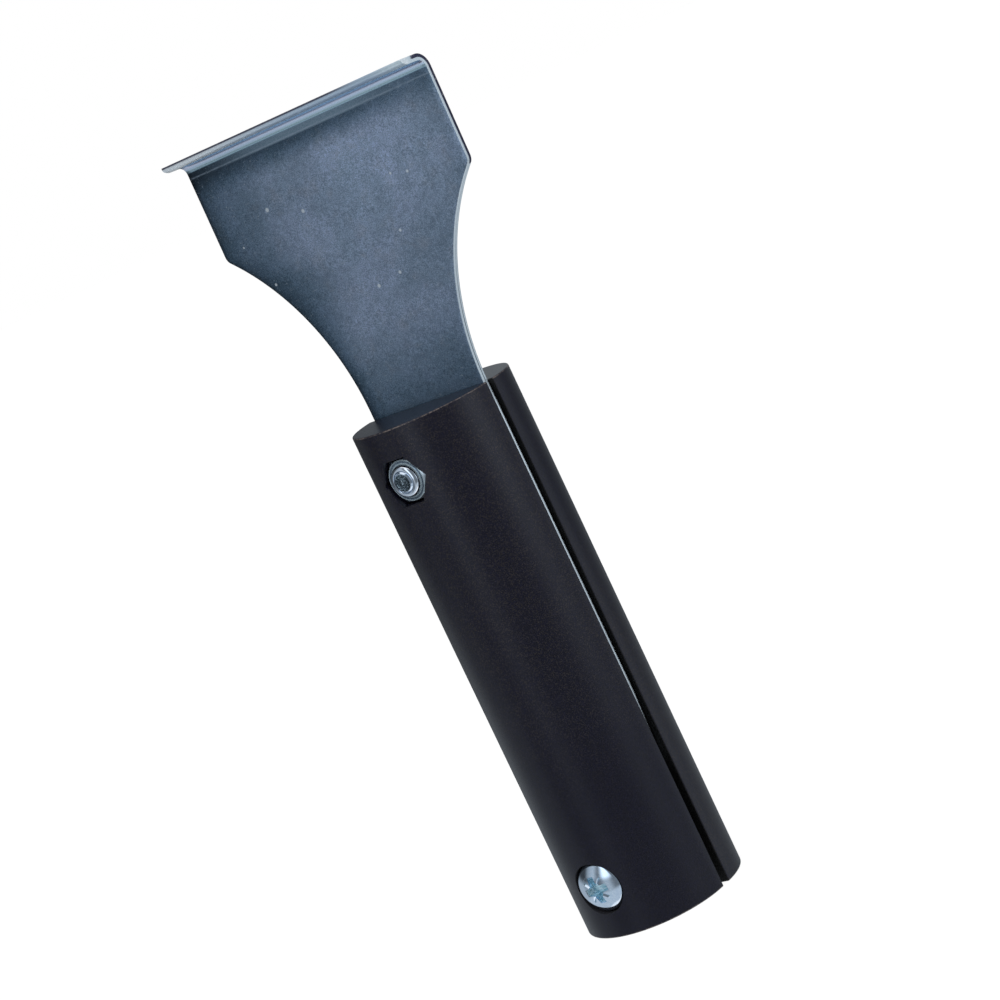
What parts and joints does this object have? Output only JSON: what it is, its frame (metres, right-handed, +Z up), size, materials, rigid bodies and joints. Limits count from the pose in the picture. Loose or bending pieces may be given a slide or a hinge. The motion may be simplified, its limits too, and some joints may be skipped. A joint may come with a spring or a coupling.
{
  "type": "deglazing tool",
  "caption": "Hand tool for levering out window glazing beads: a wide steel blade with a hooked lip, clamped by screws in a two-part round handle.",
  "frame": {"origin": "middle of the handle's butt, which the tool stands on", "axes": "+Z up the handle to the blade, +X along the blade's width, -Y the way the lip hooks"},
  "size_m": [0.0628, 0.033, 0.1602],
  "materials": {
    "blade_steel": "zinc plated sheet with a blue passivate, satin and finely mottled",
    "grip": "black moulding, satin with a fine grain",
    "fasteners": "bright zinc plating with a blue passivate",
    "nylon": "natural nylon"
  },
  "bodies": {
    "root": {"blade": "blade_steel", "front_grip": "grip", "rear_grip": "grip", "upper_screw": "fasteners", "lower_screw": "fasteners", "upper_nut": "fasteners", "lower_nut": "fasteners", "upper_nut_insert": "nylon", "lower_nut_insert": "nylon"}
  },
  "joints": []
}
